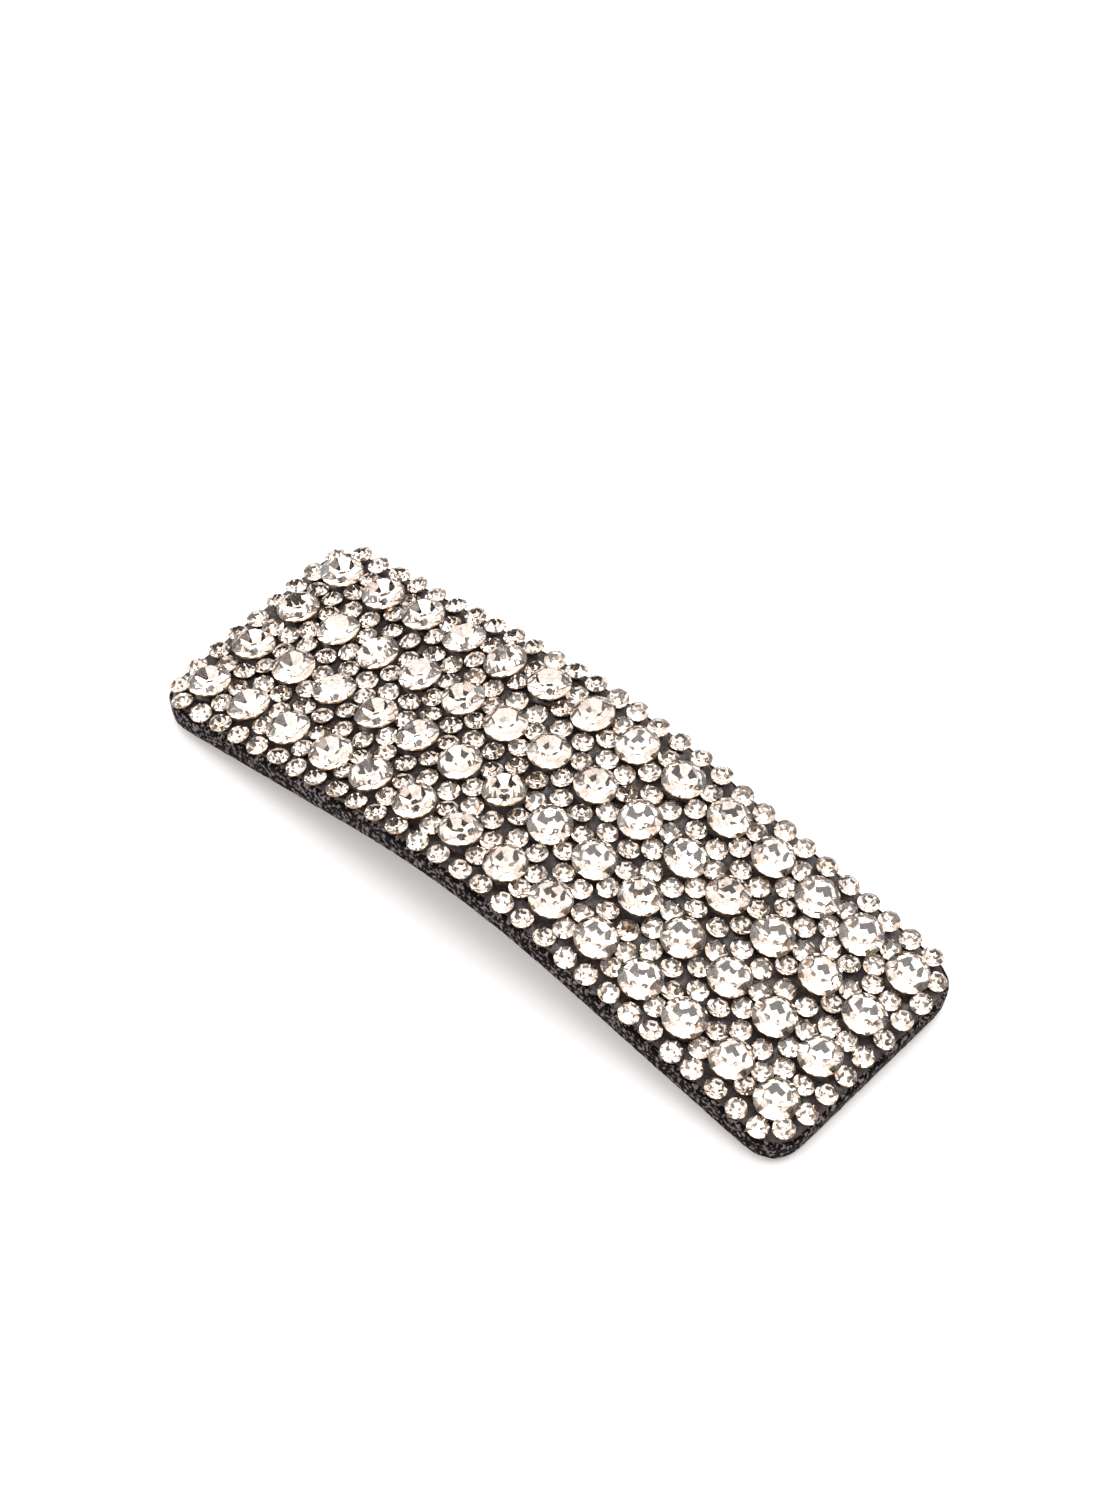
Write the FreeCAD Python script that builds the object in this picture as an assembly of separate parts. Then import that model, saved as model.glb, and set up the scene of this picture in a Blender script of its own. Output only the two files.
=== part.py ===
import FreeCAD, Part
import math
import os

# Rhinestone hair clip: a padded, fabric-covered arch set with crystal stones, on a low
# French barrette.  Millimetres.  +X along the clip, +Y across it, +Z up from the surface
# that the two ends rest on.  Positions on the arch are given as a run s along its top
# face from the middle, a side offset y, and a level above (+) or below (-) the top face.

Vector = FreeCAD.Vector
ORIGIN = Vector(0, 0, 0)
X_AXIS = Vector(1, 0, 0)
Y_AXIS = Vector(0, 1, 0)
Z_AXIS = Vector(0, 0, 1)
SLACK = 1e-6

# Arch: a round middle with straight, tangent ends
ARCH_RADIUS = 61.0
END_SLOPE = math.radians(11.1)
KNEE_RUN = ARCH_RADIUS * END_SLOPE

# Padded body, from the top face down
PAD_HALF_LENGTH = 36.2
PAD_HALF_WIDTH = 11.95
PAD_CORNER = 3.2
CLOTH = 0.4
FOAM = 1.2
BOARD = 0.4
FELT = 0.4
HEM_WIDTH = 4.0
FELT_INSET = 0.5
CAVITY_TOP = -CLOTH
BOARD_TOP = CAVITY_TOP - FOAM
BOARD_BOTTOM = BOARD_TOP - BOARD
FELT_TOP = BOARD_BOTTOM - CLOTH
FELT_BOTTOM = FELT_TOP - FELT

# Stones: pitch of the large ones along and across, and the small ones packed round them
COLUMNS = 14
ROWS = 4
COLUMN_PITCH = 5.0
ROW_PITCH = 5.55
GLUE = 0.12
GLUE_INSET = 0.5
LARGE_RADIUS = 1.95
LARGE_SIDES = 12
SMALL_RADIUS = 0.975
SMALL_SIDES = 8
# Height and radius of the tip, both edges of the girdle, and the table, as parts of the radius
LARGE_PROPORTIONS = ((0.0, 0.15), (0.5, 1.0), (0.55, 1.0), (0.9, 0.6))
SMALL_PROPORTIONS = ((0.0, 0.15), (0.63, 1.0), (0.68, 1.0), (1.03, 0.6))
LINE_OFFSET = 1.14
END_LINE_OFFSET = 0.98
END_LINE_SHIFT = 0.44
PAIR_OFFSET = 1.14
RIM_PAIR_OFFSET = 0.9
SIDE_STONES = 29
SIDE_RUN = 33.0
SIDE_OFFSET = 11.18
END_STONES = 9
END_RUN = 35.0
END_REACH = 9.72
END_CORNER_DROP = 0.4
END_CORNER_WIDTH = 1.0
SPIN_STEP = 137.5

# Barrette: sheet metal parts
PLATE_HALF_WIDTH = 4.0
PLATE_HALF_LENGTH = 23.0
PLATE_CORNER = 2.0
PLATE = CLOTH
PIN_X = -19.5
PIN_RADIUS = 0.45
PIN_HEAD_RADIUS = 0.75
PIN_HEAD = 0.25
EYE_BORE = 0.5
EYE_RADIUS = 1.0
EYE_GAP = 0.35
EAR_INNER = 2.95
EAR = 0.5
EAR_RADIUS = 1.1
ARM = 0.5
ARM_HALF_WIDTH = 2.6
ARM_END_X = 22.2
ARM_CORNER = 1.6
ARM_SLOT_X = (16.5, 19.5)
ARM_SLOT_HALF_WIDTH = 1.8
ARM_SLOT_CORNER = 0.3
BAR = 0.25
BAR_HALF_WIDTH = 2.0
BAR_FOOT_RUN = 17.6
BAR_FOOT = 1.0
BAR_RISER = 0.6
BAR_DROP = 0.65
BAR_CROWN_GAP = 0.9

# Catch: local frame on the underside of the base plate, u along it, w up
CATCH_RUN = 19.1
BRACKET = 0.4
BRACKET_U = (-1.4, 3.9)
BRACKET_HALF_WIDTH = 1.6
RIVET_U = (-0.3, 2.8)
RIVET_RADIUS = 0.5
RIVET_HEAD_RADIUS = 0.85
RIVET_HEAD = 0.3
PRONG = 0.35
PRONG_Y = 1.35
PRONG_PIVOT_W = -0.55
PRONG_U = (-1.0, 1.0)
PRONG_BOTTOM_W = -3.0
HOOK = 0.4
HOOK_REACH = 2.15
HOOK_LEAD_IN = 0.28
WING_TOP_W = -1.0
WING_REACH = 4.0
WING_U = (-1.0, 1.9)
TAB_BOTTOM_W = -2.4
TAB_CORNER = 0.6

# Windows in the backing felt for the hinge and the catch
HINGE_WINDOW = (-22.2, -14.6, 3.8)
CATCH_WINDOW = (14.6, 22.6, 2.3)


def arch_angle(run):
    """Slope of the arch at a run along its top face."""
    return max(-END_SLOPE, min(END_SLOPE, run / ARCH_RADIUS))


def arch_offset(run, level):
    """Point on the arch in the XZ plane, from the centre of its round middle."""
    angle = arch_angle(run)
    straight = run - angle * ARCH_RADIUS
    radius = ARCH_RADIUS + level
    x = radius * math.sin(angle) + straight * math.cos(angle)
    z = radius * math.cos(angle) - straight * math.sin(angle)
    return Vector(x, 0, z)


# The lower end edges of the backing felt are the lowest lines of the clip
CENTRE_HEIGHT = -arch_offset(PAD_HALF_LENGTH - FELT_INSET, FELT_BOTTOM).z


def arch_point(run, level, y=0.0):
    return arch_offset(run, level) + Vector(0, y, CENTRE_HEIGHT)


def arch_frame(run, level, y=0.0):
    """Placement with local X along the arch and local Z square to it."""
    turn = FreeCAD.Rotation(Y_AXIS, math.degrees(arch_angle(run)))
    return FreeCAD.Placement(arch_point(run, level, y), turn)


def end_height(x, level):
    """Height of a level at a place on one of the straight ends."""
    knee = arch_point(KNEE_RUN, 0.0)
    return knee.z - (abs(x) - knee.x) * math.tan(END_SLOPE) + level / math.cos(END_SLOPE)


def line(start, end):
    return Part.LineSegment(start, end).toShape()


def arc(start, middle, end):
    return Part.Arc(start, middle, end).toShape()


def box(low, high):
    size = high - low
    return Part.makeBox(size.x, size.y, size.z, low)


def slab(edges, half_width):
    """Extrude a closed side profile evenly to both sides of the XZ plane."""
    face = Part.Face(Part.Wire(Part.__sortEdges__(edges)))
    body = face.extrude(Vector(0, 2 * half_width, 0))
    body.translate(Vector(0, -half_width, 0))
    return body


def polygon(points):
    return [line(a, b) for a, b in zip(points, points[1:] + points[:1])]


def level_edges(level, half_length):
    """One face of an arched layer seen from the side: line, arc, line."""
    spots = [arch_point(run, level) for run in (-half_length, -KNEE_RUN, 0, KNEE_RUN, half_length)]
    return [line(spots[0], spots[1]), arc(*spots[1:4]), line(spots[3], spots[4])]


def arch_layer(upper, lower, half_length, half_width, corner=0.0):
    """A sheet of even thickness that follows the arch, with rounded plan corners."""
    edges = level_edges(upper, half_length) + level_edges(lower, half_length)
    for run in (-half_length, half_length):
        edges.append(line(arch_point(run, upper), arch_point(run, lower)))
    layer = slab(edges, half_width)
    if corner:
        thickness = upper - lower
        upright = [edge for edge in layer.Edges if abs(edge.Length - thickness) < SLACK]
        layer = layer.makeFillet(corner, upright)
    return layer


def pad_layer(upper, lower, inset):
    """A layer of the padded body, inset evenly from the outline of the cover."""
    return arch_layer(upper, lower, PAD_HALF_LENGTH - inset, PAD_HALF_WIDTH - inset, PAD_CORNER - inset)


def export(name, shape):
    shape.exportStep("parts/" + name + ".step")
    print(name, len(shape.Solids), "solids", round(shape.Volume, 3), "mm3", shape.isValid())


# Padded body -----------------------------------------------------------------------------


def cover_fabric():
    """Suede cloth over the top and sides, turned under as a hem and glued to the board."""
    cloth = pad_layer(0.0, FELT_TOP, 0.0)
    cloth = cloth.cut(pad_layer(CAVITY_TOP, BOARD_BOTTOM, CLOTH))
    opening = arch_layer(
        BOARD_BOTTOM, FELT_TOP, PAD_HALF_LENGTH - HEM_WIDTH, PAD_HALF_WIDTH - HEM_WIDTH
    )
    return cloth.cut(opening)


def window_box(window):
    """Tall cutter for a rectangular window in the backing felt."""
    start, end, half_width = window
    ceiling = arch_point(0.0, FELT_TOP).z
    return box(Vector(start, -half_width, 0), Vector(end, half_width, ceiling))


def backing_felt():
    """Felt that hides the hem and the base plate, with a window at each end of the barrette."""
    felt = pad_layer(FELT_TOP, FELT_BOTTOM, FELT_INSET)
    for window in (HINGE_WINDOW, CATCH_WINDOW):
        felt = felt.cut(window_box(window))
    return felt


# Stones ----------------------------------------------------------------------------------


def stone(radius, sides, proportions):
    """Point-backed faceted stone standing on its tip, from rings of (height, radius)."""
    rings = []
    for height, width in proportions:
        ring = []
        for side in range(sides):
            turn = 2 * math.pi * side / sides
            ring.append(Vector(math.cos(turn), math.sin(turn), 0) * (radius * width))
        rings.append([point + Z_AXIS * (radius * height) for point in ring])
    faces = [Part.Face(Part.makePolygon(ring + ring[:1])) for ring in (rings[0], rings[-1])]
    for lower, upper in zip(rings, rings[1:]):
        for side in range(sides):
            after = (side + 1) % sides
            corners = [lower[side], lower[after], upper[after], upper[side], lower[side]]
            faces.append(Part.Face(Part.makePolygon(corners)))
    solid = Part.makeSolid(Part.makeShell(faces))
    solid.fix(SLACK, SLACK, SLACK)
    return solid


LARGE_STONE = stone(LARGE_RADIUS, LARGE_SIDES, LARGE_PROPORTIONS)
SMALL_STONE = stone(SMALL_RADIUS, SMALL_SIDES, SMALL_PROPORTIONS)


def set_stones(model, spots):
    """Stand one stone on the glue at each (run, y), each spun a little from the last."""
    stones = []
    for count, (run, y) in enumerate(spots):
        spin = FreeCAD.Placement(ORIGIN, FreeCAD.Rotation(Z_AXIS, count * SPIN_STEP))
        placed = model.copy()
        placed.Placement = arch_frame(run, GLUE, y) * spin
        stones.append(placed)
    return Part.makeCompound(stones)


def even(count, reach):
    """Evenly spaced places from -reach to reach."""
    return [reach * (2 * index / (count - 1) - 1) for index in range(count)]


COLUMN_RUNS = even(COLUMNS, COLUMN_PITCH * (COLUMNS - 1) / 2)
ROW_OFFSETS = even(ROWS, ROW_PITCH * (ROWS - 1) / 2)


def line_spots(y):
    """Two small stones in front of each large one; the end pairs close up inwards."""
    spots = []
    for run in COLUMN_RUNS:
        centre = run
        reach = LINE_OFFSET
        if run in (COLUMN_RUNS[0], COLUMN_RUNS[-1]):
            centre = run - math.copysign(END_LINE_SHIFT, run)
            reach = END_LINE_OFFSET
        spots += [(centre - reach, y), (centre + reach, y)]
    return spots


def pair_spots(y):
    """Two small stones between each two large ones of a row, one towards each side."""
    outer = RIM_PAIR_OFFSET if abs(y) > ROW_PITCH else PAIR_OFFSET
    outwards = math.copysign(1.0, y)
    spots = []
    for run, after in zip(COLUMN_RUNS, COLUMN_RUNS[1:]):
        middle = (run + after) / 2
        spots += [(middle, y + outwards * outer), (middle, y - outwards * PAIR_OFFSET)]
    return spots


def end_spots(side):
    """The short row at one end, drawn in a little at the corners."""
    spots = []
    for y in even(END_STONES, END_REACH):
        drop = END_CORNER_DROP if abs(y) > END_REACH - END_CORNER_WIDTH else 0.0
        spots.append((side * (END_RUN - drop), y))
    return spots


def stone_groups():
    """Every group of stones as name -> compound."""
    groups = {}
    for number, y in enumerate(ROW_OFFSETS, 1):
        spots = [(run, y) for run in COLUMN_RUNS]
        groups["large_stones_row_%d" % number] = set_stones(LARGE_STONE, spots)
        groups["small_stones_pairs_%d" % number] = set_stones(SMALL_STONE, pair_spots(y))
    for number, (y, after) in enumerate(zip(ROW_OFFSETS, ROW_OFFSETS[1:]), 1):
        spots = line_spots((y + after) / 2)
        groups["small_stones_line_%d" % number] = set_stones(SMALL_STONE, spots)
    for name, y in (("front", -SIDE_OFFSET), ("back", SIDE_OFFSET)):
        spots = [(run, y) for run in even(SIDE_STONES, SIDE_RUN)]
        groups["small_stones_%s_edge" % name] = set_stones(SMALL_STONE, spots)
    for name, side in (("left", -1), ("right", 1)):
        groups["small_stones_%s_end" % name] = set_stones(SMALL_STONE, end_spots(side))
    return groups


# Barrette --------------------------------------------------------------------------------

PIN_HEIGHT = end_height(PIN_X, FELT_TOP) - EYE_GAP - EYE_RADIUS
PIN_CENTRE = Vector(PIN_X, 0, PIN_HEIGHT)

# The arm's arc reaches the slope of the arch at the pin, and its underside is tangent to
# the rolled eye
ARM_UNDER_RADIUS = abs(PIN_X) / math.sin(END_SLOPE) - EYE_RADIUS
ARM_UPPER_RADIUS = ARM_UNDER_RADIUS + ARM
ARM_CENTRE_HEIGHT = PIN_HEIGHT - (ARM_UNDER_RADIUS + EYE_RADIUS) * math.cos(END_SLOPE)


def cross_cylinder(radius, centre, half_length):
    """Cylinder along Y, centred on a point."""
    return Part.makeCylinder(radius, 2 * half_length, centre - Y_AXIS * half_length, Y_AXIS)


def barrette_base():
    """Arched sheet plate with two lanced ears turned down to carry the pin."""
    plate = arch_layer(
        BOARD_BOTTOM, FELT_TOP, PLATE_HALF_LENGTH, PLATE_HALF_WIDTH, PLATE_CORNER
    )
    bite = PLATE / 2
    corners = []
    for x in (PIN_X - EAR_RADIUS, PIN_X + EAR_RADIUS):
        corners.append(Vector(x, 0, end_height(x, FELT_TOP) + bite))
    corners.append(Vector(PIN_X + EAR_RADIUS, 0, PIN_HEIGHT))
    corners.append(Vector(PIN_X - EAR_RADIUS, 0, PIN_HEIGHT))
    for side in (-1, 1):
        middle = side * (EAR_INNER + EAR / 2)
        ear = slab(polygon(corners), EAR / 2)
        ear = ear.fuse(cross_cylinder(EAR_RADIUS, PIN_CENTRE, EAR / 2))
        ear = ear.cut(cross_cylinder(PIN_RADIUS, PIN_CENTRE, EAR))
        ear.translate(Y_AXIS * middle)
        plate = plate.fuse(ear)
    for u in RIVET_U:
        plate = plate.cut(rivet_shank(u))
    return plate.removeSplitter()


def hinge_pin():
    """Plain pin with a riveted head outside each ear."""
    outer = EAR_INNER + EAR
    pin = cross_cylinder(PIN_RADIUS, PIN_CENTRE, outer + PIN_HEAD)
    for side in (-1, 1):
        middle = PIN_CENTRE + Y_AXIS * side * (outer + PIN_HEAD / 2)
        head = cross_cylinder(PIN_HEAD_RADIUS, middle, PIN_HEAD / 2)
        pin = pin.fuse(head)
    return pin.removeSplitter()


def arm_point(x, radius):
    return Vector(x, 0, ARM_CENTRE_HEIGHT + math.sqrt(radius * radius - x * x))


def clasp_arm():
    """Arched strip rolled round the pin, with a slot near its free end for the prongs."""
    foot_ratio = ARM_UPPER_RADIUS / (ARM_UNDER_RADIUS + EYE_RADIUS)
    under_start = arm_point(PIN_X * ARM_UNDER_RADIUS / (ARM_UNDER_RADIUS + EYE_RADIUS), ARM_UNDER_RADIUS)
    upper_start = arm_point(PIN_X * foot_ratio, ARM_UPPER_RADIUS)
    under_end = arm_point(ARM_END_X, ARM_UNDER_RADIUS)
    upper_end = arm_point(ARM_END_X, ARM_UPPER_RADIUS)
    strip = slab(
        [
            arc(under_start, arm_point(0, ARM_UNDER_RADIUS), under_end),
            line(under_end, upper_end),
            arc(upper_end, arm_point(0, ARM_UPPER_RADIUS), upper_start),
            line(upper_start, under_start),
        ],
        ARM_HALF_WIDTH,
    )
    ends = [edge for edge in strip.Edges if edge.Length < 2 * ARM and edge.CenterOfMass.x > 0]
    strip = strip.makeFillet(ARM_CORNER, ends)
    arm = strip.fuse(cross_cylinder(EYE_RADIUS, PIN_CENTRE, ARM_HALF_WIDTH))
    arm = arm.cut(cross_cylinder(EYE_BORE, PIN_CENTRE, ARM_HALF_WIDTH + 1))
    slot = box(
        Vector(ARM_SLOT_X[0], -ARM_SLOT_HALF_WIDTH, 0),
        Vector(ARM_SLOT_X[1], ARM_SLOT_HALF_WIDTH, PIN_HEIGHT + EYE_RADIUS),
    )
    upright = [edge for edge in slot.Edges if abs(edge.tangentAt(0).z) > 0.9]
    return arm.cut(slot.makeFillet(ARM_SLOT_CORNER, upright)).removeSplitter()


def tension_bar():
    """Thin spring strip bowed between its two feet on the base plate."""
    crown = arm_point(0, ARM_UPPER_RADIUS).z + BAR_CROWN_GAP + BAR
    feet = []
    for side in (-1, 1):
        tip = arch_point(side * BAR_FOOT_RUN, FELT_TOP)
        heel = arch_point(side * (BAR_FOOT_RUN - BAR_FOOT), FELT_TOP)
        toe = arch_point(side * (BAR_FOOT_RUN - BAR_FOOT - BAR_RISER), FELT_TOP - BAR_DROP)
        feet.append((tip, heel, toe))
    (left_tip, left_heel, left_toe), (right_tip, right_heel, right_toe) = feet
    upper = [
        line(left_tip, left_heel),
        line(left_heel, left_toe),
        arc(left_toe, Vector(0, 0, crown), right_toe),
        line(right_toe, right_heel),
        line(right_heel, right_tip),
    ]
    lower = [edge.copy() for edge in upper]
    for edge in lower:
        edge.translate(Z_AXIS * -BAR)
    ends = [line(tip, tip - Z_AXIS * BAR) for tip in (left_tip, right_tip)]
    return slab(upper + lower + ends, BAR_HALF_WIDTH)


# Catch -----------------------------------------------------------------------------------


def in_catch_frame(shape):
    """Move a shape from the catch's own axes to its place under the base plate."""
    shape.Placement = arch_frame(CATCH_RUN, FELT_TOP) * shape.Placement
    return shape


def rivet_shank(u):
    """The full-length shank of one rivet, through the plate and the bracket."""
    shank = Part.makeCylinder(RIVET_RADIUS, PLATE + BRACKET, Vector(u, 0, -BRACKET), Z_AXIS)
    return in_catch_frame(shank)


def catch_bracket():
    """Flat strap that carries the two prongs, riveted under the base plate."""
    strap = box(
        Vector(BRACKET_U[0], -BRACKET_HALF_WIDTH, -BRACKET), Vector(BRACKET_U[1], BRACKET_HALF_WIDTH, 0)
    )
    strap = in_catch_frame(strap)
    for u in RIVET_U:
        strap = strap.cut(rivet_shank(u))
    return strap


def catch_rivets():
    """Two rivets with their heads under the bracket."""
    rivets = []
    for u in RIVET_U:
        head = Part.makeCylinder(RIVET_HEAD_RADIUS, RIVET_HEAD, Vector(u, 0, -BRACKET - RIVET_HEAD), Z_AXIS)
        head = head.makeChamfer(RIVET_HEAD / 3, [head.Edges[2]])
        rivets.append(in_catch_frame(head).fuse(rivet_shank(u)))
    return Part.makeCompound(rivets)


def catch_prong(side):
    """Spring prong: a leg with an outward hook under the arm, and a wing with a finger tab."""

    def piece(u, near, far, low, high):
        ys = sorted((side * near, side * far))
        return box(Vector(u[0], ys[0], low), Vector(u[1], ys[1], high))

    inner = PRONG_Y - PRONG / 2
    outer = PRONG_Y + PRONG / 2
    leg = piece(PRONG_U, inner, outer, PRONG_BOTTOM_W, PRONG_PIVOT_W)
    hook = piece(PRONG_U, outer, HOOK_REACH, PRONG_BOTTOM_W, PRONG_BOTTOM_W + HOOK)
    lead_in = [
        edge for edge in hook.Edges
        if abs(edge.CenterOfMass.y - side * HOOK_REACH) < SLACK
        and abs(edge.CenterOfMass.z - PRONG_BOTTOM_W) < SLACK
    ]
    hook = hook.makeChamfer(HOOK_LEAD_IN, lead_in)
    wing = piece(WING_U, inner, WING_REACH, WING_TOP_W - PRONG, WING_TOP_W)
    tab = piece(WING_U, WING_REACH - PRONG, WING_REACH, TAB_BOTTOM_W, WING_TOP_W)
    corners = [
        edge for edge in tab.Edges
        if abs(edge.CenterOfMass.z - TAB_BOTTOM_W) < SLACK
        and abs(edge.tangentAt(edge.FirstParameter).x) < SLACK
    ]
    tab = tab.makeFillet(TAB_CORNER, corners)
    return in_catch_frame(leg.fuse([hook, wing, tab]).removeSplitter())


# Export ----------------------------------------------------------------------------------

os.makedirs("parts", exist_ok=True)
export("cover_fabric", cover_fabric())
export("foam_pad", pad_layer(CAVITY_TOP, BOARD_TOP, CLOTH))
export("stiffener_board", pad_layer(BOARD_TOP, BOARD_BOTTOM, CLOTH))
export("backing_felt", backing_felt())
export("stone_glue", pad_layer(GLUE, 0.0, GLUE_INSET))
for group, stones in stone_groups().items():
    export(group, stones)
export("barrette_base", barrette_base())
export("hinge_pin", hinge_pin())
export("clasp_arm", clasp_arm())
export("tension_bar", tension_bar())
export("catch_bracket", catch_bracket())
export("catch_rivets", catch_rivets())
export("catch_prong_front", catch_prong(-1))
export("catch_prong_back", catch_prong(1))

pivot = arch_frame(CATCH_RUN, FELT_TOP)
print("pin axis at", PIN_CENTRE)
for side in (-1, 1):
    print("prong pivot at", pivot.multVec(Vector(0, side * PRONG_Y, PRONG_PIVOT_W)))
print("prong pivot axis", pivot.Rotation.multVec(X_AXIS))
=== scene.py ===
import math
import random

import bmesh
import bpy
from mathutils import Matrix, Vector, kdtree


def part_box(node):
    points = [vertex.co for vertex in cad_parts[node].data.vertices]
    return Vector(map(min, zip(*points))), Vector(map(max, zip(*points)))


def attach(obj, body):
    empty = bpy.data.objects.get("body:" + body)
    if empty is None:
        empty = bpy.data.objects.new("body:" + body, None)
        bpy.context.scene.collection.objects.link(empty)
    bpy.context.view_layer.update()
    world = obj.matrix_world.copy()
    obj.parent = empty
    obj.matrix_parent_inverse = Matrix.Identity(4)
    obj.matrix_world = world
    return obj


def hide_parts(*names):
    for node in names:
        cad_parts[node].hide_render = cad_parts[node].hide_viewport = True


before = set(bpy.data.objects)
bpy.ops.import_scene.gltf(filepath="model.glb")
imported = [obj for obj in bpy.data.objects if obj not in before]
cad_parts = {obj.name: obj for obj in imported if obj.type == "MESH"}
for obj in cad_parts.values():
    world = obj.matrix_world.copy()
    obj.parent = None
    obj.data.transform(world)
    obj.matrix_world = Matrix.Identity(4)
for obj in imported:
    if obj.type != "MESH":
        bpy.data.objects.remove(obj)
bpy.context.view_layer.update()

# --- Camera and studio ------------------------------------------------------------------
# A long lens looks down on the clip from its front right corner.  The clip lies on white
# acrylic sheet between four softboxes, and black velvet cards out of shot give the stones
# something dark to mirror.

MM = 0.001
CAMERA_AZIMUTH = math.radians(42.11)
CAMERA_ELEVATION = math.radians(52.20)
CAMERA_DISTANCE = 377.8 * MM
CAMERA_TARGET = Vector((-3.25, 3.39, 8.49)) * MM
FLOOR_HALF_WIDTH = 1.5

camera_back = Vector(
    (
        math.sin(CAMERA_AZIMUTH) * math.cos(CAMERA_ELEVATION),
        -math.cos(CAMERA_AZIMUTH) * math.cos(CAMERA_ELEVATION),
        math.sin(CAMERA_ELEVATION),
    )
)
camera_data = bpy.data.cameras.new("camera")
camera_data.lens = 107.3
camera_data.sensor_width = 36.0
camera_data.clip_start = 0.01
camera_data.clip_end = 20.0
camera = bpy.data.objects.new("camera", camera_data)
camera.location = CAMERA_TARGET + camera_back * CAMERA_DISTANCE
camera.rotation_mode = "QUATERNION"
camera.rotation_quaternion = (-camera_back).to_track_quat("-Z", "Y")
bpy.context.collection.objects.link(camera)
bpy.context.scene.camera = camera
bpy.context.scene.view_settings.view_transform = "Standard"


def linear(code):
    """Linear RGBA of an sRGB hex colour."""
    levels = [int(code[i : i + 2], 16) / 255 for i in (1, 3, 5)]
    return [v / 12.92 if v <= 0.04045 else ((v + 0.055) / 1.055) ** 2.4 for v in levels] + [1.0]


def add(material, kind, sockets=None, output=0, **settings):
    """Adds a node with its settings, links or sets its sockets, and gives one output."""
    node = material.node_tree.nodes.new("ShaderNode" + kind)
    for name, value in settings.items():
        setattr(node, name, value)
    for socket, value in (sockets or {}).items():
        if isinstance(value, bpy.types.NodeSocket):
            material.node_tree.links.new(value, node.inputs[socket])
        else:
            node.inputs[socket].default_value = value
    return node.outputs[output] if node.outputs else None


def new_material(name):
    """An empty material, and its object coordinates."""
    material = bpy.data.materials.new(name)
    material.use_nodes = True
    material.node_tree.nodes.clear()
    return material, add(material, "TexCoord", output="Object")


def close(material, sockets):
    """Ends a material with a Principled shader that has these sockets."""
    add(material, "OutputMaterial", {"Surface": add(material, "BsdfPrincipled", sockets)})
    return material


def per(size):
    """Scale of a pattern whose marks are this many millimetres wide."""
    return 1 / (size * MM)


def new_piece(name, bm, materials, smooth=False):
    """Closes a bmesh into an object with its materials."""
    mesh = bpy.data.meshes.new(name)
    bm.to_mesh(mesh)
    bm.free()
    for material in materials:
        mesh.materials.append(material)
    mesh.polygons.foreach_set("use_smooth", [smooth] * len(mesh.polygons))
    piece = bpy.data.objects.new(name, mesh)
    bpy.context.collection.objects.link(piece)
    return piece


def white_acrylic():
    """Cast acrylic sheet: white all through, with a faint broad unevenness in its satin
    face."""
    material, place = new_material("white_acrylic_sheet")
    haze = add(material, "TexNoise", {"Vector": place, "Scale": per(111), "Detail": 3.0})
    colours = {0: haze, 6: linear("#f6f6f6"), 7: linear("#fbfbfb")}
    white = add(material, "Mix", colours, output=2, data_type="RGBA")
    return close(material, {"Base Color": white, "Roughness": 0.6, "Specular IOR Level": 0.2})


floor_mesh = bmesh.new()
bmesh.ops.create_grid(floor_mesh, x_segments=8, y_segments=8, size=FLOOR_HALF_WIDTH)
floor = new_piece("acrylic_floor", floor_mesh, [white_acrylic()])

world = bpy.data.worlds.new("studio_room")
world.use_nodes = True
world.node_tree.nodes["Background"].inputs["Color"].default_value = linear("#fff9f7")
world.node_tree.nodes["Background"].inputs["Strength"].default_value = 1.40
bpy.context.scene.world = world


def softbox(name, place, width, height, brightness):
    """A rectangular softbox that faces the clip; its cloth glows with this brightness."""
    light = bpy.data.lights.new(name, "AREA")
    light.shape = "RECTANGLE"
    light.size = width
    light.size_y = height
    light.energy = brightness * math.pi * width * height
    lamp = bpy.data.objects.new(name, light)
    lamp.location = place
    lamp.rotation_mode = "QUATERNION"
    lamp.rotation_quaternion = (Vector(place) - CAMERA_TARGET).to_track_quat("Z", "Y")
    bpy.context.collection.objects.link(lamp)


softbox("overhead_softbox", (-0.05, 0.10, 0.90), width=1.00, height=0.80, brightness=2.4)
softbox("front_softbox", (0.60, -0.70, 0.75), width=0.80, height=0.60, brightness=2.4)
softbox("left_softbox", (-0.90, -0.35, 0.45), width=0.70, height=0.60, brightness=2.6)
softbox("back_softbox", (0.25, 1.00, 0.50), width=1.00, height=0.50, brightness=2.2)


def black_velvet():
    """Cotton velvet that swallows light, with pile that lies in patches 2.5 mm wide and
    shows as faint mottling."""
    material, place = new_material("black_velvet")
    pile = add(material, "TexNoise", {"Vector": place, "Scale": per(2.5), "Detail": 2.0})
    colours = {0: pile, 6: linear("#060606"), 7: linear("#121110")}
    black = add(material, "Mix", colours, output=2, data_type="RGBA")
    return close(material, {"Base Color": black, "Roughness": 1.0})


flag_mesh = bmesh.new()
for place, width, height in (
    (CAMERA_TARGET + camera_back * 0.60, 0.30, 0.24),
    (Vector((-0.10, -0.10, 0.62)), 0.12, 0.60),
    (Vector((-0.45, 0.40, 0.30)), 0.30, 0.45),
    (Vector((0.55, 0.10, 0.30)), 0.25, 0.35),
):
    facing = (place - CAMERA_TARGET).to_track_quat("Z", "Y").to_matrix().to_4x4()
    spread = Matrix.Translation(place) @ facing @ Matrix.Diagonal((width, height, 1.0, 1.0))
    bmesh.ops.create_grid(flag_mesh, x_segments=1, y_segments=1, size=0.5, matrix=spread)
flags = new_piece("velvet_flags", flag_mesh, [black_velvet()])
flags.visible_camera = False

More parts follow.
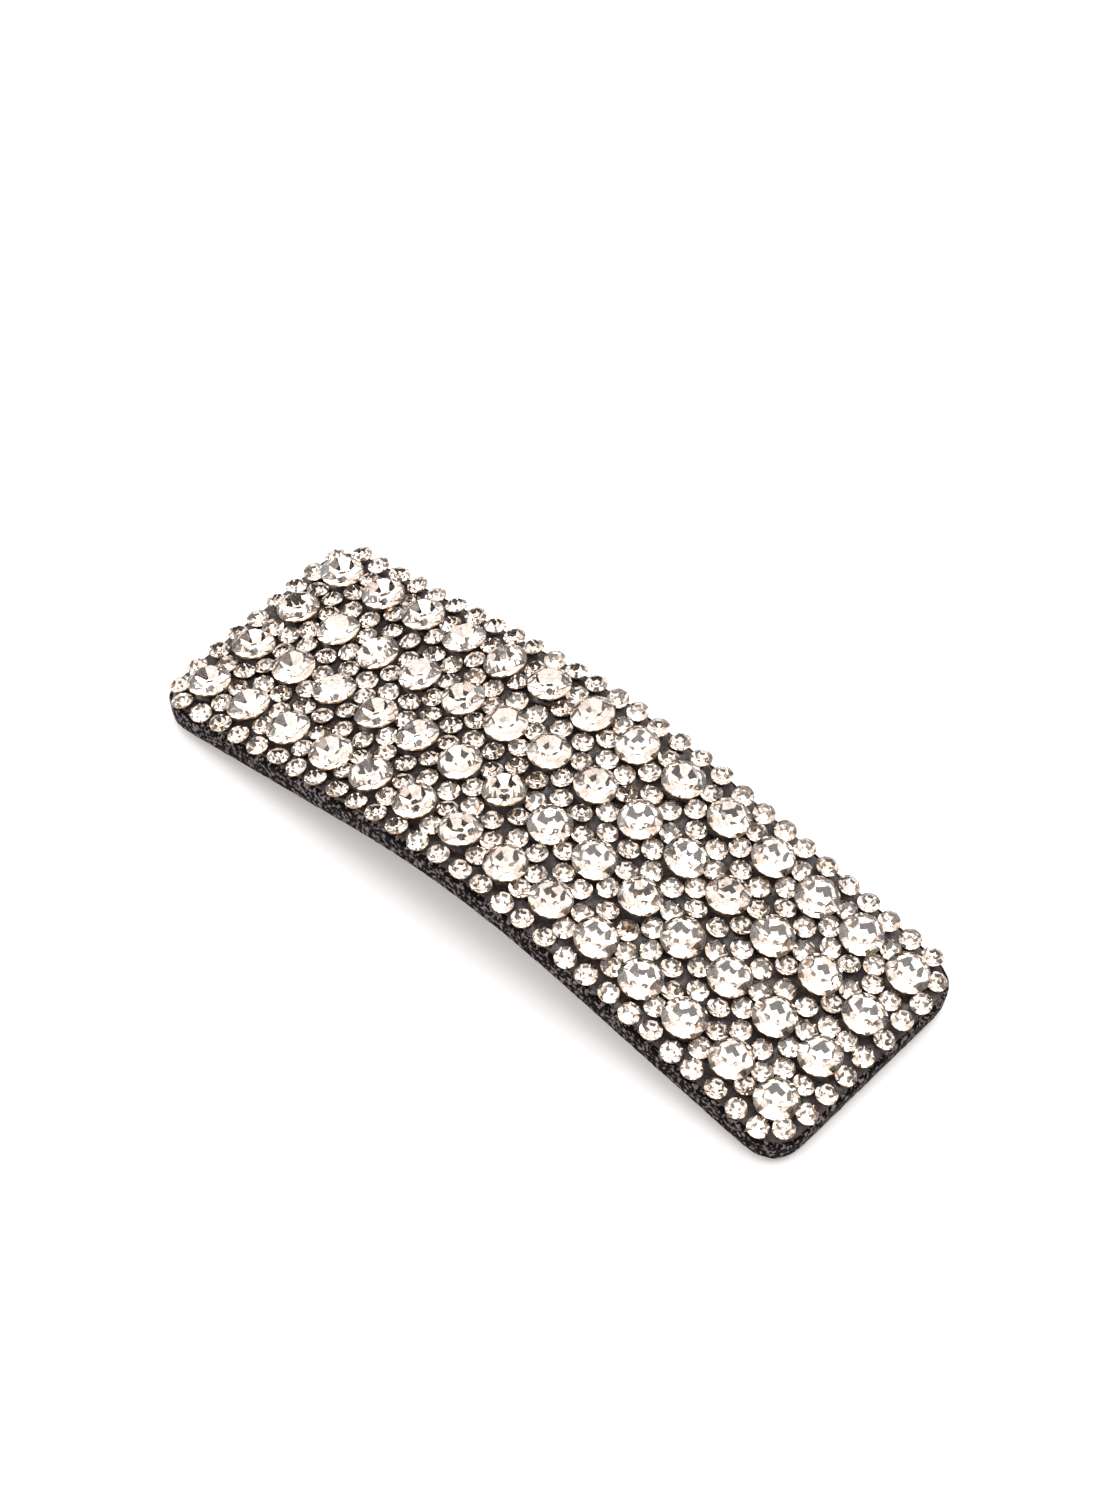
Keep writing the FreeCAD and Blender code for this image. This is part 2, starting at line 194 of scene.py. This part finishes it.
# --- Stiffener board ----------------------------------------------------------------------
# Grey chipboard, die cut and pressed to the arch.  It gives the clip its shape, and the
# cloth's hem and the barrette's plate are glued to its underside.


def chipboard():
    """Pressed waste paper: matt, grey-buff, with darker fibres about 0.4 mm long."""
    material, place = new_material("grey_chipboard")
    fibre = add(material, "TexNoise", {"Vector": place, "Scale": per(0.4), "Detail": 5.0})
    dark = add(material, "MapRange", {0: fibre, 1: 0.35, 2: 0.65})
    colours = {0: dark, 6: linear("#8c857a"), 7: linear("#b3aa9b")}
    grey = add(material, "Mix", colours, output=2, data_type="RGBA")
    bump = add(material, "Bump", {"Height": fibre, "Strength": 0.4, "Distance": 0.05 * MM})
    return close(material, {"Base Color": grey, "Roughness": 0.9, "Normal": bump})


def dress(node, material):
    """Gives a CAD node its finished material."""
    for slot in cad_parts[node].material_slots:
        slot.material = material


dress("stiffener_board", chipboard())

# --- Foam pad -----------------------------------------------------------------------------
# A slab of soft polyurethane foam, 1.2 mm thick, glued on the board to soften the edges of
# the cover.  Like every layer it is cut flat and laid over the arch, which has a round
# middle and straight ends.

ARCH_RADIUS = 61.0
END_SLOPE = math.radians(11.1)
PAD_HALF_LENGTH = 36.2
PAD_HALF_WIDTH = 11.95
PAD_CORNER = 3.2
FOAM_TOP = -0.42
FOAM_BOTTOM = -1.58
FOAM_INSET = 0.45
FOAM_CUTS = (60, 20, 1)
ROUNDING = 1e-6

arch_centre_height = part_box("cover_fabric")[1].z / MM - ARCH_RADIUS


def arch_matrix(run, y, level):
    """Frame in metres with X along the arch and Z square to it, at a run along the pad's
    top face, a side offset and a level above that face, all in millimetres."""
    angle = max(-END_SLOPE, min(END_SLOPE, run / ARCH_RADIUS))
    straight = run - angle * ARCH_RADIUS
    radius = ARCH_RADIUS + level
    x = radius * math.sin(angle) + straight * math.cos(angle)
    z = arch_centre_height + radius * math.cos(angle) - straight * math.sin(angle)
    return Matrix.Translation(Vector((x, y, z)) * MM) @ Matrix.Rotation(angle, 4, "Y")


def sheet_blank(half_length, half_width, upper, lower, cuts):
    """A flat block of quads, as long as the arch is round its curve."""
    bm = bmesh.new()
    bmesh.ops.create_cube(bm, size=1.0)
    for axis, count in enumerate(cuts):
        along = [
            edge
            for edge in bm.edges
            if abs((edge.verts[0].co - edge.verts[1].co)[axis]) > ROUNDING
        ]
        bmesh.ops.subdivide_edges(bm, edges=along, cuts=count, use_grid_fill=True)
    size = (2 * half_length, 2 * half_width, upper - lower)
    bmesh.ops.scale(bm, vec=size, verts=bm.verts)
    bmesh.ops.translate(bm, vec=(0, 0, (upper + lower) / 2), verts=bm.verts)
    return bm


def draw_in_corners(bm, half_length, half_width, corner):
    """Turns the four square plan corners into round ones."""
    for vert in bm.verts:
        past = Vector(
            (abs(vert.co.x) - half_length + corner, abs(vert.co.y) - half_width + corner)
        )
        if min(past) > 0:
            past *= max(past) / past.length
            vert.co.x = math.copysign(half_length - corner + past.x, vert.co.x)
            vert.co.y = math.copysign(half_width - corner + past.y, vert.co.y)


def bend_to_arch(bm):
    """Lays a flat blank on the arch."""
    for vert in bm.verts:
        vert.co = arch_matrix(*vert.co).translation


def foam():
    """Open-celled polyurethane foam, dark grey, with cells about 0.3 mm wide and painted shade in
    their pits.
    """
    material, place = new_material("polyurethane_foam")
    cells = add(
        material, "TexVoronoi", {"Vector": place, "Scale": per(0.3)}, output="Distance"
    )
    # Painted shade: the colour darkens where the inverted bump sinks the cells in.
    painted_pit_shade = add(material, "MapRange", {0: cells, 1: 0.0, 2: 0.8})
    colours = {0: painted_pit_shade, 6: linear("#4a4a4c"), 7: linear("#2a2a2c")}
    grey = add(material, "Mix", colours, output=2, data_type="RGBA")
    pits = {"Height": cells, "Strength": 0.8, "Distance": 0.1 * MM}
    bump = add(material, "Bump", pits, invert=True)
    return close(material, {"Base Color": grey, "Roughness": 0.95, "Normal": bump})


foam_half_length = PAD_HALF_LENGTH - FOAM_INSET
foam_half_width = PAD_HALF_WIDTH - FOAM_INSET
foam_mesh = sheet_blank(foam_half_length, foam_half_width, FOAM_TOP, FOAM_BOTTOM, FOAM_CUTS)
draw_in_corners(foam_mesh, foam_half_length, foam_half_width, PAD_CORNER - FOAM_INSET)
bend_to_arch(foam_mesh)
foam_core = new_piece("foam_core", foam_mesh, [foam()], smooth=True)
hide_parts("foam_pad")
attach(foam_core, "padded_clip")

# --- Cover --------------------------------------------------------------------------------
# One piece of charcoal microsuede, 0.4 mm thick, pulled over the foam and the board's edges
# and turned under as a 4 mm hem.  Its brushed nap stands up as coarse grain on the sides,
# with painted highlights on the tufts and painted shade between them.

CLOTH = 0.4
HEM_LEVEL = -2.4
HEM_WIDTH = 4.0
COVER_CUTS = (59, 19, 3)
NAP_HEIGHT = 0.10
NAP_CLUMP = 0.5


def microsuede():
    """Brushed polyester suede: matt charcoal tufts with a painted highlight on their tips and
    painted shade between them.  Real tufts are 0.1 to 0.2 mm wide, and are drawn 0.3 to 0.4 mm
    wide so that they show."""
    material, place = new_material("charcoal_microsuede")
    nap = add(
        material,
        "TexNoise",
        {"Vector": place, "Scale": per(0.4), "Detail": 2.0, "Roughness": 0.6},
    )
    tufts = add(
        material, "TexVoronoi", {"Vector": place, "Scale": per(0.294)}, output="Distance"
    )
    patches = add(material, "TexNoise", {"Vector": place, "Scale": per(2.0), "Detail": 2.0})
    # Painted highlight: the high points of the nap are coloured light, as if lit at the tuft tips.
    painted_tip_highlight = add(material, "MapRange", {0: nap, 1: 0.52, 2: 0.58})
    colours = {0: painted_tip_highlight, 6: linear("#040303"), 7: linear("#7a6f70")}
    charcoal = add(material, "Mix", colours, output=2, data_type="RGBA")
    # Painted shade: the colour is darkened between the tufts, where the bump sinks in.
    painted_hollow_shade = add(material, "MapRange", {0: tufts, 1: 0.15, 2: 0.75, 3: 1.0, 4: 0.35})
    broad = add(material, "MapRange", {0: patches, 1: 0.3, 2: 0.7, 3: 0.8, 4: 1.1})
    for strength, shade in ((0.8, painted_hollow_shade), (1.0, broad)):
        charcoal = add(
            material,
            "Mix",
            {0: strength, 6: charcoal, 7: shade},
            output=2,
            data_type="RGBA",
            blend_type="MULTIPLY",
        )
    height = add(material, "Math", {0: nap, 1: tufts}, operation="SUBTRACT")
    bump = add(material, "Bump", {"Height": height, "Strength": 1.0, "Distance": 0.12 * MM})
    return close(
        material,
        {
            "Base Color": charcoal,
            "Roughness": 0.95,
            "Specular IOR Level": 0.1,
            "Normal": bump,
        },
    )


def faces_down(face):
    return face.normal.z < -0.5


cover_mesh = sheet_blank(PAD_HALF_LENGTH, PAD_HALF_WIDTH, 0.0, HEM_LEVEL, COVER_CUTS)
hem_opening = [
    face
    for face in cover_mesh.faces
    if faces_down(face)
    and abs(face.calc_center_median().x) < PAD_HALF_LENGTH - HEM_WIDTH
    and abs(face.calc_center_median().y) < PAD_HALF_WIDTH - HEM_WIDTH
]
bmesh.ops.delete(cover_mesh, geom=hem_opening, context="FACES")
draw_in_corners(cover_mesh, PAD_HALF_LENGTH, PAD_HALF_WIDTH, PAD_CORNER)
bend_to_arch(cover_mesh)
cover = new_piece("suede_cover", cover_mesh, [microsuede()], smooth=True)

thickness = cover.modifiers.new("cloth_thickness", "SOLIDIFY")
thickness.thickness = CLOTH * MM
thickness.offset = -1.0
rounding = cover.modifiers.new("soft_edges", "SUBSURF")
rounding.levels = 2
rounding.render_levels = 2
nap_texture = bpy.data.textures.new("nap_clumps", "CLOUDS")
nap_texture.noise_scale = NAP_CLUMP * MM
nap_texture.noise_depth = 2
nap = cover.modifiers.new("nap", "DISPLACE")
nap.texture = nap_texture
nap.texture_coords = "LOCAL"
nap.strength = NAP_HEIGHT * MM
nap.mid_level = 0.6
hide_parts("cover_fabric")
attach(cover, "padded_clip")

# --- Barrette -----------------------------------------------------------------------------
# Stamped from nickel-plated steel strip: base plate with two lanced ears, a riveted hinge
# pin, the clasp arm rolled round it, and the catch's bracket and rivets.


def nickel_plate():
    """Barrel-tumbled nickel plate on rolled steel: bright, faintly warm, with fine rubs
    along the strip and slightly uneven gloss.  Real rubs are a few hundredths of a
    millimetre wide, and are drawn 0.11 mm wide so that they show."""
    material, place = new_material("nickel_plated_steel")
    along = add(material, "Mapping", {"Vector": place, "Scale": (0.06, 1.0, 1.0)})
    rubs = add(material, "TexNoise", {"Vector": along, "Scale": per(0.111), "Detail": 4.0})
    stains = add(material, "TexNoise", {"Vector": place, "Scale": per(3.33), "Detail": 3.0})
    dull = add(material, "MapRange", {0: stains, 1: 0.3, 2: 0.7})
    colours = {0: dull, 6: linear("#c2beb6"), 7: linear("#cfcbc3")}
    metal = add(material, "Mix", colours, output=2, data_type="RGBA")
    gloss = add(material, "MapRange", {0: rubs, 1: 0.3, 2: 0.7, 3: 0.18, 4: 0.34})
    bump = add(material, "Bump", {"Height": rubs, "Strength": 0.15, "Distance": 0.01 * MM})
    return close(
        material,
        {"Base Color": metal, "Metallic": 1.0, "Roughness": gloss, "Normal": bump},
    )


nickel = nickel_plate()
for node in ("barrette_base", "hinge_pin", "clasp_arm", "catch_bracket", "catch_rivets"):
    dress(node, nickel)

# --- Springs ------------------------------------------------------------------------------
# The tension bar and the two catch prongs are blue-grey spring steel, hardened and left
# with their rolled finish.


def spring_steel():
    """Hardened strip steel: cool grey, satin, with straight rolling lines.  Real lines are a
    few hundredths of a millimetre wide, and are drawn 0.14 mm wide so that they show."""
    material, place = new_material("rolled_spring_steel")
    along = add(material, "Mapping", {"Vector": place, "Scale": (0.03, 1.0, 1.0)})
    lines = add(material, "TexNoise", {"Vector": along, "Scale": per(0.143), "Detail": 5.0})
    worn = add(material, "MapRange", {0: lines, 1: 0.3, 2: 0.7})
    colours = {0: worn, 6: linear("#8e9195"), 7: linear("#b4b6b9")}
    metal = add(material, "Mix", colours, output=2, data_type="RGBA")
    gloss = add(material, "MapRange", {0: lines, 1: 0.3, 2: 0.7, 3: 0.26, 4: 0.42})
    bump = add(material, "Bump", {"Height": lines, "Strength": 0.25, "Distance": 0.01 * MM})
    return close(
        material,
        {"Base Color": metal, "Metallic": 1.0, "Roughness": gloss, "Normal": bump},
    )


spring = spring_steel()
for node in ("tension_bar", "catch_prong_front", "catch_prong_back"):
    dress(node, spring)

# --- Backing felt -------------------------------------------------------------------------
# Black pressed felt, 0.4 mm thick, cut half a millimetre inside the outline and glued over
# the hem and the base plate, with a window for the hinge and one for the catch.

FELT_INSET = 0.5
FELT_TOP = -2.42
FELT_THICKNESS = 0.36
FELT_CUT_EDGE = 0.06
# The start, the end and the half-width of the hinge's window, and of the catch's.
FELT_WINDOWS = ((-22.2, -14.6, 3.8), (14.6, 22.6, 2.3))


def pressed_felt():
    """Matted wool and viscose: near black, dull, with loose fibres that lie every way.
    Real fibres are 0.02 mm wide, and are drawn 0.1 to 0.2 mm wide so that they show."""
    material, place = new_material("black_pressed_felt")
    bends = {"Vector": place, "Scale": per(1.43), "Detail": 2.0}
    warp = add(material, "TexNoise", bends, output=1)
    swirl = add(material, "Mix", {0: 0.002, 6: place, 7: warp}, output=2, data_type="RGBA")
    fibre = add(
        material,
        "TexNoise",
        {"Vector": swirl, "Scale": per(0.192), "Detail": 6.0, "Roughness": 0.7},
    )
    loose = add(material, "MapRange", {0: fibre, 1: 0.35, 2: 0.7})
    colours = {0: loose, 6: linear("#161414"), 7: linear("#4b4646")}
    black = add(material, "Mix", colours, output=2, data_type="RGBA")
    bump = add(material, "Bump", {"Height": fibre, "Strength": 0.9, "Distance": 0.08 * MM})
    return close(
        material,
        {
            "Base Color": black,
            "Roughness": 0.97,
            "Specular IOR Level": 0.2,
            "Sheen Weight": 0.2,
            "Normal": bump,
        },
    )


felt_half_length = PAD_HALF_LENGTH - FELT_INSET
felt_half_width = PAD_HALF_WIDTH - FELT_INSET
felt_mesh = bmesh.new()
bmesh.ops.create_grid(felt_mesh, x_segments=72, y_segments=24, size=1.0)
bmesh.ops.scale(felt_mesh, vec=(felt_half_length, felt_half_width, 1.0), verts=felt_mesh.verts)
knife_cuts = []
for start, end, reach in FELT_WINDOWS:
    knife_cuts += [((x, 0, 0), (1, 0, 0)) for x in (start, end)]
    knife_cuts += [((0, y, 0), (0, 1, 0)) for y in (-reach, reach)]
for place, square in knife_cuts:
    everything = felt_mesh.verts[:] + felt_mesh.edges[:] + felt_mesh.faces[:]
    bmesh.ops.bisect_plane(felt_mesh, geom=everything, plane_co=place, plane_no=square)


def in_window(face):
    middle = face.calc_center_median()
    return any(
        start < middle.x < end and abs(middle.y) < reach for start, end, reach in FELT_WINDOWS
    )


cut_out = [face for face in felt_mesh.faces if in_window(face)]
bmesh.ops.delete(felt_mesh, geom=cut_out, context="FACES")
draw_in_corners(felt_mesh, felt_half_length, felt_half_width, PAD_CORNER - FELT_INSET)
felt_area = sum(face.calc_area() for face in felt_mesh.faces)
bmesh.ops.translate(felt_mesh, vec=(0, 0, FELT_TOP - FELT_THICKNESS), verts=felt_mesh.verts)
bend_to_arch(felt_mesh)
felt = new_piece("felt_backing", felt_mesh, [pressed_felt()], smooth=True)
felt_depth = felt.modifiers.new("felt_thickness", "SOLIDIFY")
felt_depth.thickness = FELT_THICKNESS * MM
felt_depth.offset = 1.0
felt_edge = felt.modifiers.new("cut_edge", "BEVEL")
felt_edge.width = FELT_CUT_EDGE * MM
felt_edge.segments = 2
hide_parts("backing_felt")
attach(felt, "padded_clip")

# --- Glue ---------------------------------------------------------------------------------
# Dark jewellery cement spread on the suede.  The stones are pressed into it: 4 rows of 14
# large ones, two small ones between neighbours each way, and a ring of small ones round the
# edge.  It has crept a little way up the back of each and dried with a low gloss.

COLUMNS = 14
ROWS = 4
COLUMN_PITCH = 5.0
ROW_PITCH = 5.55
LARGE_RADIUS = 1.95
SMALL_RADIUS = 0.975
# Half the distance between the two small stones of a pair: as a rule, next to the front and
# back edges, and at the ends, where the pair also stands a little further in.
PAIR_REACH = 1.14
OUTER_PAIR_REACH = 0.9
END_PAIR_REACH = 0.98
END_PAIR_SHIFT = 0.44
# The ring: two long edges, and two ends whose corner stones are drawn in.
EDGE_COUNT = 29
EDGE_REACH = 33.0
EDGE_Y = 11.18
END_COUNT = 9
END_REACH = 9.72
END_RUN = 35.0
END_CORNER_RUN = 34.6
# Depths in parts of a stone's radius: how wide its blunt tip is, and how deep its back.
TIP = 0.15
LARGE_BACK = 0.50
SMALL_BACK = 0.63
# The film: it starts a share of its thickness at the edge, climbs a share of each back with
# a round fillet, and leaves a gap round the glass.
GLUE = 0.12
GLUE_SOAK = 0.10
GLUE_INSET = 0.45
GLUE_CLIMB = 0.40
GLUE_FILLET = 0.28
GLUE_LEEWAY = 0.15
GLUE_LEAST = 0.01
GLUE_EDGE_SHARE = 0.2
GLUE_REACH = 2.2
GLUE_CUTS = (329, 107, 0)


def even(count, reach):
    """Evenly spaced places from -reach to reach."""
    return [reach * (2 * index / (count - 1) - 1) for index in range(count)]


columns = even(COLUMNS, (COLUMNS - 1) / 2 * COLUMN_PITCH)
rows = even(ROWS, (ROWS - 1) / 2 * ROW_PITCH)


def line_spots(y):
    """Two small stones in front of each large one; the end pairs close up inwards."""
    spots = []
    for run in columns:
        at_end = run in (columns[0], columns[-1])
        centre = run - math.copysign(END_PAIR_SHIFT, run) if at_end else run
        reach = END_PAIR_REACH if at_end else PAIR_REACH
        spots += [(centre - reach, y), (centre + reach, y)]
    return spots


def pair_spots(y):
    """Two small stones between each two large ones of a row."""
    outer = OUTER_PAIR_REACH if abs(y) > ROW_PITCH else PAIR_REACH
    outwards = math.copysign(1.0, y)
    spots = []
    for run, after in zip(columns, columns[1:]):
        middle = (run + after) / 2
        spots += [(middle, y + outwards * outer), (middle, y - outwards * PAIR_REACH)]
    return spots


def end_spots(side):
    """The short row at one end, drawn in a little at the corners."""
    spots = []
    for y in even(END_COUNT, END_REACH):
        spots.append((side * (END_CORNER_RUN if abs(y) == END_REACH else END_RUN), y))
    return spots


small_spots = {}
for number, y in enumerate(rows, 1):
    small_spots["small_stones_pairs_%d" % number] = pair_spots(y)
for number, (y, after) in enumerate(zip(rows, rows[1:]), 1):
    small_spots["small_stones_line_%d" % number] = line_spots((y + after) / 2)
for edge, y in (("front", -EDGE_Y), ("back", EDGE_Y)):
    small_spots["small_stones_%s_edge" % edge] = [(run, y) for run in even(EDGE_COUNT, EDGE_REACH)]
small_spots["small_stones_left_end"] = end_spots(-1)
small_spots["small_stones_right_end"] = end_spots(1)
large_spots = {}
for number, y in enumerate(rows, 1):
    large_spots["large_stones_row_%d" % number] = [(run, y) for run in columns]

standing = [(spot, LARGE_RADIUS, LARGE_BACK) for spots in large_spots.values() for spot in spots]
standing += [(spot, SMALL_RADIUS, SMALL_BACK) for spots in small_spots.values() for spot in spots]
nearby = kdtree.KDTree(len(standing))
for index, ((run, y), radius, back) in enumerate(standing):
    nearby.insert((run, y, 0), index)
nearby.balance()


def jewellery_cement():
    """Brown-black solvent cement over suede: rough where the nap shows through, in grains
    of a third of a millimetre, and glossy in spots 1.5 mm wide where it has pooled."""
    material, place = new_material("dark_jewellery_cement")
    grain = add(material, "TexNoise", {"Vector": place, "Scale": per(0.333), "Detail": 4.0})
    pools = add(material, "TexNoise", {"Vector": place, "Scale": per(1.54), "Detail": 2.0})
    light = add(material, "MapRange", {0: grain, 1: 0.35, 2: 0.68})
    colours = {0: light, 6: linear("#0a0706"), 7: linear("#3d2f2b")}
    brown = add(material, "Mix", colours, output=2, data_type="RGBA")
    gloss = add(material, "MapRange", {0: pools, 1: 0.42, 2: 0.60, 3: 0.72, 4: 0.22})
    bump = add(material, "Bump", {"Height": grain, "Strength": 0.6, "Distance": 0.06 * MM})
    return close(material, {"Base Color": brown, "Roughness": gloss, "Normal": bump})


def glue_height(run, y):
    """Height of the glue over the suede: it climbs the backs of the stones that stand close
    by, and dips under each to its point."""
    height = GLUE / 2
    for _, index, distance in nearby.find_range((run, y, 0), GLUE_REACH):
        radius, back = standing[index][1:]
        foot = radius * (TIP + (1 - TIP) * GLUE_CLIMB) + GLUE_LEEWAY
        if distance < foot:
            stone_back = (distance - TIP * radius) * back / (1 - TIP)
            return max(GLUE_LEAST, stone_back - GLUE_LEEWAY)
        past = (distance - foot) / GLUE_FILLET
        height = max(height, GLUE / 2 + radius * back * GLUE_CLIMB * math.exp(-past * past))
    return height


glue_half_length = PAD_HALF_LENGTH - GLUE_INSET
glue_half_width = PAD_HALF_WIDTH - GLUE_INSET
glue_mesh = sheet_blank(glue_half_length, glue_half_width, 0.0, -GLUE_SOAK, GLUE_CUTS)
draw_in_corners(glue_mesh, glue_half_length, glue_half_width, PAD_CORNER - GLUE_INSET)
for vert in glue_mesh.verts:
    if vert.co.z > -GLUE_SOAK / 2:
        inwards = min(glue_half_length - abs(vert.co.x), glue_half_width - abs(vert.co.y))
        share = min(1.0, GLUE_EDGE_SHARE + inwards)
        vert.co.z = glue_height(vert.co.x, vert.co.y) * share
bend_to_arch(glue_mesh)
glue_film = new_piece("glue_film", glue_mesh, [jewellery_cement()], smooth=True)
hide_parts("stone_glue")
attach(glue_film, "padded_clip")

# --- Large stones -------------------------------------------------------------------------
# Point-backed chatons, 3.9 mm across: machine-cut lead-free crystal with an eight-sided
# table, silvered behind and lacquered gold over the silver, which shows as a thin rim.

STONE_SIDES = 16
FACETS = 8
GIRDLE = 0.05
CROWN = 0.35
WELD = 1e-5


def cut_crystal():
    """Polished crystal glass, water clear, with a breath of warmth that differs from stone
    to stone and faint polish marks.  Real marks are too fine to see, and are drawn 0.4 mm
    wide so that they show."""
    material, place = new_material("machine_cut_crystal")
    warmth = add(material, "TexNoise", {"Vector": place, "Scale": per(5.56), "Detail": 1.0})
    tint = add(material, "MapRange", {0: warmth, 1: 0.4, 2: 0.6})
    colours = {0: tint, 6: linear("#fffdfc"), 7: linear("#fbf6f3")}
    glass = add(material, "Mix", colours, output=2, data_type="RGBA")
    marks = add(material, "TexNoise", {"Vector": place, "Scale": per(0.4), "Detail": 3.0})
    haze = add(material, "MapRange", {0: marks, 1: 0.45, 2: 0.75, 3: 0.0, 4: 0.01})
    return close(
        material,
        {"Base Color": glass, "Roughness": haze, "IOR": 1.56, "Transmission Weight": 1.0},
    )


def silver_foil():
    """Chemically deposited silver seen through the glass: a slightly wavy mirror, a little
    warm, with dull specks drawn coarse enough to show."""
    material, place = new_material("silvered_pavilion")
    wave = add(material, "TexNoise", {"Vector": place, "Scale": per(2.0), "Detail": 0.0})
    specks = add(material, "TexNoise", {"Vector": place, "Scale": per(0.385), "Detail": 2.0})
    dull = add(material, "MapRange", {0: specks, 1: 0.35, 2: 0.65})
    colours = {0: dull, 6: linear("#e8ddd2"), 7: linear("#fcf9f6")}
    silver = add(material, "Mix", colours, output=2, data_type="RGBA")
    gloss = add(material, "MapRange", {0: specks, 1: 0.4, 2: 0.7, 3: 0.02, 4: 0.05})
    bump = add(material, "Bump", {"Height": wave, "Strength": 0.1, "Distance": 0.03 * MM})
    return close(
        material,
        {"Base Color": silver, "Metallic": 0.94, "Roughness": gloss, "Normal": bump},
    )


def gold_lacquer():
    """Bronze-gold protective lacquer that laps the girdle: satin, tan, a little streaky."""
    material, place = new_material("gold_back_lacquer")
    streaks = add(material, "TexNoise", {"Vector": place, "Scale": per(0.667), "Detail": 3.0})
    pale = add(material, "MapRange", {0: streaks, 1: 0.3, 2: 0.7})
    colours = {0: pale, 6: linear("#8f7452"), 7: linear("#cbb08a")}
    gold = add(material, "Mix", colours, output=2, data_type="RGBA")
    return close(material, {"Base Color": gold, "Metallic": 0.7, "Roughness": 0.35})


stone_materials = [cut_crystal(), silver_foil(), gold_lacquer()]
CRYSTAL, SILVER, LACQUER = range(3)


def grind(bm, place, square, material):
    """Removes all that stands past one plane and closes the cut with a flat face."""
    everything = bm.verts[:] + bm.edges[:] + bm.faces[:]
    cut = bmesh.ops.bisect_plane(
        bm, geom=everything, plane_co=place, plane_no=square, clear_outer=True, dist=WELD
    )
    rim = [item for item in cut["geom_cut"] if isinstance(item, bmesh.types.BMEdge)]
    rim = [edge for edge in rim if edge.is_boundary]
    if len(rim) > 2:
        for face in bmesh.ops.edgeloop_fill(bm, edges=rim)["faces"]:
            face.material_index = material


def cut_facets(bm, height, turn, tilt, reach, material):
    """Grinds a ring of flat facets, turned by a share of a facet.  Each tips outwards by so
    many degrees and passes a point at a reach and a height.  A negative tilt grinds the
    underside."""
    slope = math.radians(tilt)
    up = Vector((0, 0, math.copysign(1.0, tilt)))
    for index in range(FACETS):
        around = 2 * math.pi * (index + turn) / FACETS
        outwards = Vector((math.cos(around), math.sin(around), 0))
        square = outwards * math.sin(abs(slope)) + up * math.cos(slope)
        grind(bm, outwards * reach + Vector((0, 0, height)), square, material)


def stone_blank(back):
    """A drum of glass of radius 1, from its tip up, silvered below and lacquered round its
    side."""
    depth = back + GIRDLE + CROWN
    bm = bmesh.new()
    bmesh.ops.create_cone(
        bm, cap_ends=True, segments=STONE_SIDES, radius1=1.0, radius2=1.0, depth=depth
    )
    bmesh.ops.translate(bm, vec=(0, 0, depth / 2), verts=bm.verts)
    for face in bm.faces:
        face.material_index = CRYSTAL if face.normal.z > 0.5 else LACQUER
        if faces_down(face):
            face.material_index = SILVER
    return bm


def large_stone():
    """Eight main facets and eight halves above, and eight main facets below."""
    bm = stone_blank(LARGE_BACK)
    edge = LARGE_BACK + GIRDLE
    cut_facets(bm, edge, turn=0.0, tilt=38, reach=1.0, material=CRYSTAL)
    cut_facets(bm, edge, turn=0.5, tilt=42, reach=0.98, material=CRYSTAL)
    cut_facets(bm, LARGE_BACK, turn=0.5, tilt=-30.5, reach=1.0, material=SILVER)
    return bm


hand = random.Random(16)


def set_stones(name, node, cut, radius, spots, wander, lean):
    """Stands a cut stone at each spot, each turned, shifted by up to so many millimetres and
    tipped by up to so many degrees, by chance as a hand does it."""
    bm = bmesh.new()
    loose = bpy.data.meshes.new("loose_stone")
    for run, y in spots:
        shift = [hand.uniform(-wander, wander) for _ in range(2)]
        tip = Matrix.Rotation(math.radians(hand.uniform(-lean, lean)), 4, "X")
        tip = tip @ Matrix.Rotation(math.radians(hand.uniform(-lean, lean)), 4, "Y")
        spin = Matrix.Rotation(hand.uniform(0, 2 * math.pi), 4, "Z")
        place = arch_matrix(run + shift[0], y + shift[1], GLUE / 2)
        stone = cut.copy()
        stone.transform(place @ tip @ spin @ Matrix.Scale(radius * MM, 4))
        stone.to_mesh(loose)
        stone.free()
        bm.from_mesh(loose)
    bmesh.ops.recalc_face_normals(bm, faces=bm.faces)
    group = new_piece(name, bm, stone_materials)
    bpy.data.meshes.remove(loose)
    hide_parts(node)
    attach(group, "padded_clip")


large_cut = large_stone()
for node, spots in large_spots.items():
    name = node.replace("stones", "crystals")
    set_stones(name, node, large_cut, LARGE_RADIUS, spots, wander=0.10, lean=5.0)
large_cut.free()

# --- Small stones -------------------------------------------------------------------------
# The same crystal in the 2 mm size, with the simpler eight-facet cut, packed between the
# large ones and round the edge.  They lean more, because the large ones crowd them.


def small_stone():
    """Eight main facets above and below."""
    bm = stone_blank(SMALL_BACK)
    cut_facets(bm, SMALL_BACK + GIRDLE, turn=0.0, tilt=40, reach=1.0, material=CRYSTAL)
    cut_facets(bm, SMALL_BACK, turn=0.0, tilt=-37, reach=1.0, material=SILVER)
    return bm


small_cut = small_stone()
for node, spots in small_spots.items():
    name = node.replace("stones", "crystals")
    set_stones(name, node, small_cut, SMALL_RADIUS, spots, wander=0.07, lean=9.0)
small_cut.free()
